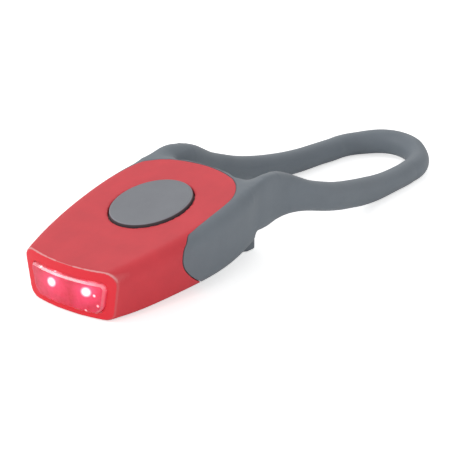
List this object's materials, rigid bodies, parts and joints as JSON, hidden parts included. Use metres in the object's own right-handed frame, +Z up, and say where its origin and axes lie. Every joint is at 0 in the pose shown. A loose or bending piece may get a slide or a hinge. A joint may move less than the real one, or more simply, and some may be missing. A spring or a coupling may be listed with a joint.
{
  "type": "bike safety light",
  "caption": "Silicone bicycle safety light with red lenses, a press button and a looped stretch strap that hooks round a bar.",
  "frame": {"origin": "centre of the footprint, on the surface that the light lies on", "axes": "+X from the lens to the tip of the strap, +Y to the light's left side, +Z up"},
  "size_m": [0.1022, 0.0302, 0.0169],
  "materials": {
    "red_silicone": "satin moulded silicone",
    "grey_silicone": "satin moulded silicone",
    "button_silicone": "satin moulded silicone",
    "red_lens": "polished clear red plastic",
    "black_seal": "matt",
    "bright_reflector": "bright vacuum metallised",
    "led_epoxy": "clear moulded epoxy",
    "tinned_wire": "tinned",
    "capsule_plastic": "natural moulded plastic",
    "board_green": "solder mask",
    "steel": "plated",
    "switch_plastic": "moulded",
    "chip_black": "moulded",
    "capacitor_tan": "fired ceramic",
    "cell_steel": "nickel plated, no print",
    "spring_brass": "bare spring metal"
  },
  "bodies": {
    "light_body": {"cover": "red_silicone", "strap_saddle": "grey_silicone", "lens": "red_lens", "lens_seal": "black_seal", "reflector": "bright_reflector", "led_left": "led_epoxy", "led_right": "led_epoxy", "led_leads": "tinned_wire", "capsule_lower": "capsule_plastic", "capsule_upper": "capsule_plastic", "circuit_board": "board_green", "board_screws": "steel", "switch_base": "switch_plastic", "switch_frame": "steel", "switch_dome": "steel", "controller_chip": "chip_black", "resistors": "chip_black", "capacitor": "capacitor_tan", "coin_cell_can": "cell_steel", "coin_cell_cap": "cell_steel", "coin_cell_gasket": "black_seal", "battery_negative_contact": "spring_brass", "battery_positive_clip": "spring_brass"},
    "button": {"button": "button_silicone"},
    "switch_plunger": {"switch_plunger": "switch_plastic"},
    "strap_upper": {"strap_root_bend": "grey_silicone", "strap_upper_arms": "grey_silicone"},
    "strap_lower": {"strap_middle_bend": "grey_silicone", "strap_lower_arms": "grey_silicone"},
    "strap_tip": {"strap_end_bend": "grey_silicone", "strap_loop": "grey_silicone"}
  },
  "joints": [
    {"name": "button_press", "type": "slide", "parent": "light_body", "child": "button", "axis": [0.1633, 0, -0.9866], "range_m": [0, 0.0006], "stiffness_N_per_m": 400},
    {"name": "plunger_press", "type": "slide", "parent": "light_body", "child": "switch_plunger", "axis": [0.1633, 0, -0.9866], "range_m": [0, 0.0002]},
    {"name": "strap_root_flex", "type": "hinge", "parent": "light_body", "child": "strap_upper", "pos_m": [0.00893, 0, 0.00742], "axis": [0, 1, 0], "range_deg": [-20, 70], "stiffness_Nm_per_rad": 0.03, "deforming": ["strap_root_bend"]},
    {"name": "strap_middle_flex", "type": "hinge", "parent": "strap_upper", "child": "strap_lower", "pos_m": [0.02143, 0, 0.00407], "axis": [0, 1, 0], "range_deg": [-20, 70], "stiffness_Nm_per_rad": 0.03, "deforming": ["strap_middle_bend"]},
    {"name": "strap_end_flex", "type": "hinge", "parent": "strap_lower", "child": "strap_tip", "pos_m": [0.03393, 0, 0.00247], "axis": [0, 1, 0], "range_deg": [-20, 70], "stiffness_Nm_per_rad": 0.03, "deforming": ["strap_end_bend"]}
  ],
  "couplings": [
    {"joint": "plunger_press", "follows": "button_press", "ratio": 0.33333},
    {"joint": "strap_middle_flex", "follows": "strap_root_flex", "ratio": 1},
    {"joint": "strap_end_flex", "follows": "strap_root_flex", "ratio": 1}
  ]
}
